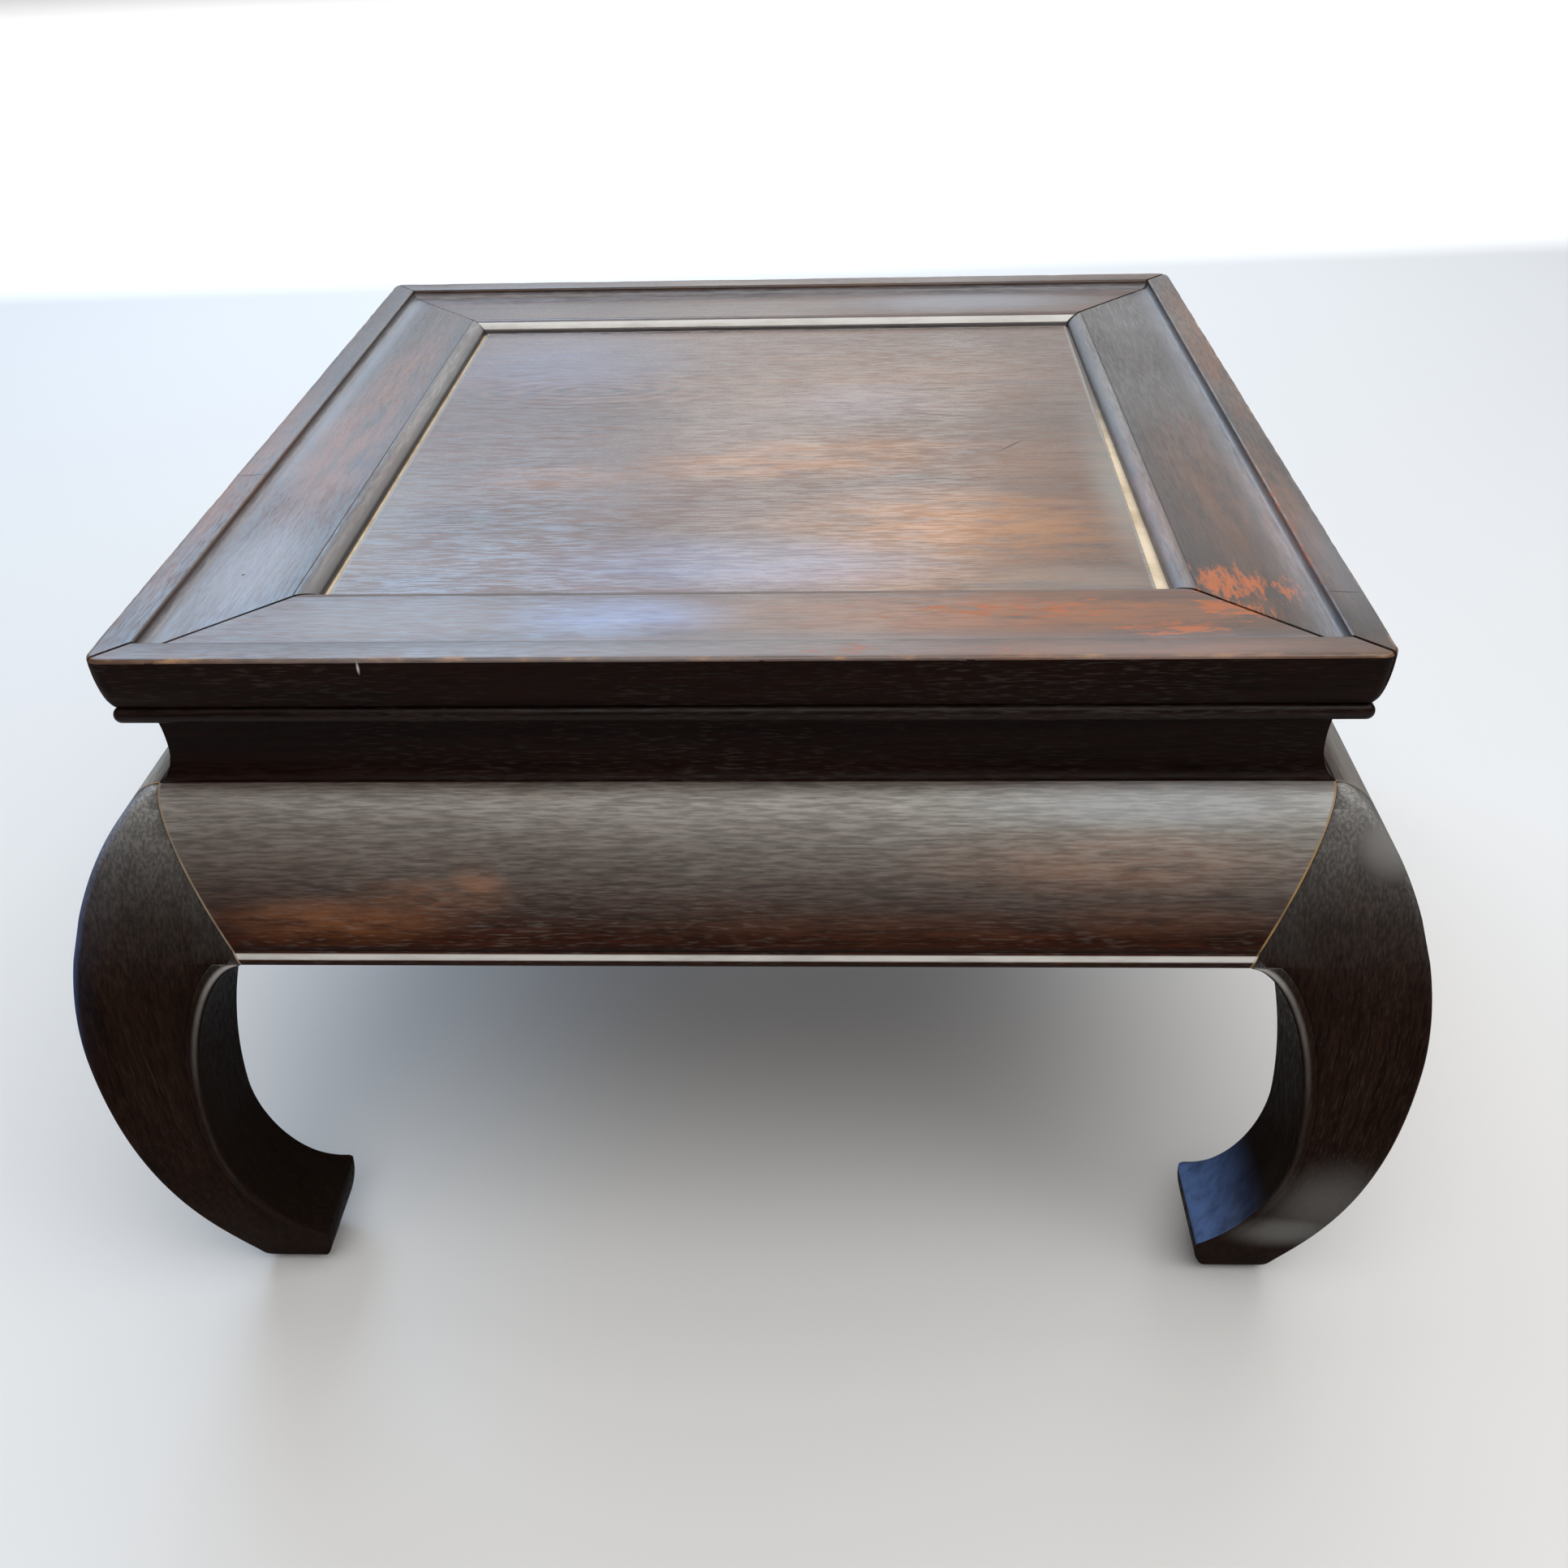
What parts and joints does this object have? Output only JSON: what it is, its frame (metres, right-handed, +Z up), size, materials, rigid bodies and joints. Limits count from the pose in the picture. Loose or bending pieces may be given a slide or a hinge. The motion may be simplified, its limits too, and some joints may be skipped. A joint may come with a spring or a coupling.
{
  "type": "urn table",
  "caption": "Low square waisted stand with a framed floating panel, raised lip, bulging aprons and inward-turned hoof feet, for standing an urn or a pot on.",
  "frame": {"origin": "on the floor, under the middle of the top", "axes": "+Z up, front of the table towards -Y, +X to the right seen from the front"},
  "size_m": [0.5714, 0.5714, 0.35],
  "materials": {
    "frame_wood": "dark stained hardwood, satin polish, worn at the corners",
    "panel_wood": "dark stained hardwood, satin polish, rubbed warm in patches",
    "batten_wood": "unpolished hardwood",
    "bead_strip_wood": "dark stained hardwood, satin polish",
    "waist_wood": "dark stained hardwood, satin polish",
    "apron_wood": "dark stained hardwood, satin polish, rubbed warm in patches",
    "leg_wood": "dark stained hardwood, satin polish"
  },
  "bodies": {
    "root": {"rail_front": "frame_wood", "rail_right": "frame_wood", "rail_back": "frame_wood", "rail_left": "frame_wood", "top_panel": "panel_wood", "batten_left": "batten_wood", "batten_right": "batten_wood", "bead_strip_front": "bead_strip_wood", "bead_strip_right": "bead_strip_wood", "bead_strip_back": "bead_strip_wood", "bead_strip_left": "bead_strip_wood", "waist_front": "waist_wood", "waist_right": "waist_wood", "waist_back": "waist_wood", "waist_left": "waist_wood", "apron_front": "apron_wood", "apron_right": "apron_wood", "apron_back": "apron_wood", "apron_left": "apron_wood", "leg_front_right": "leg_wood", "leg_back_right": "leg_wood", "leg_back_left": "leg_wood", "leg_front_left": "leg_wood"}
  },
  "joints": []
}
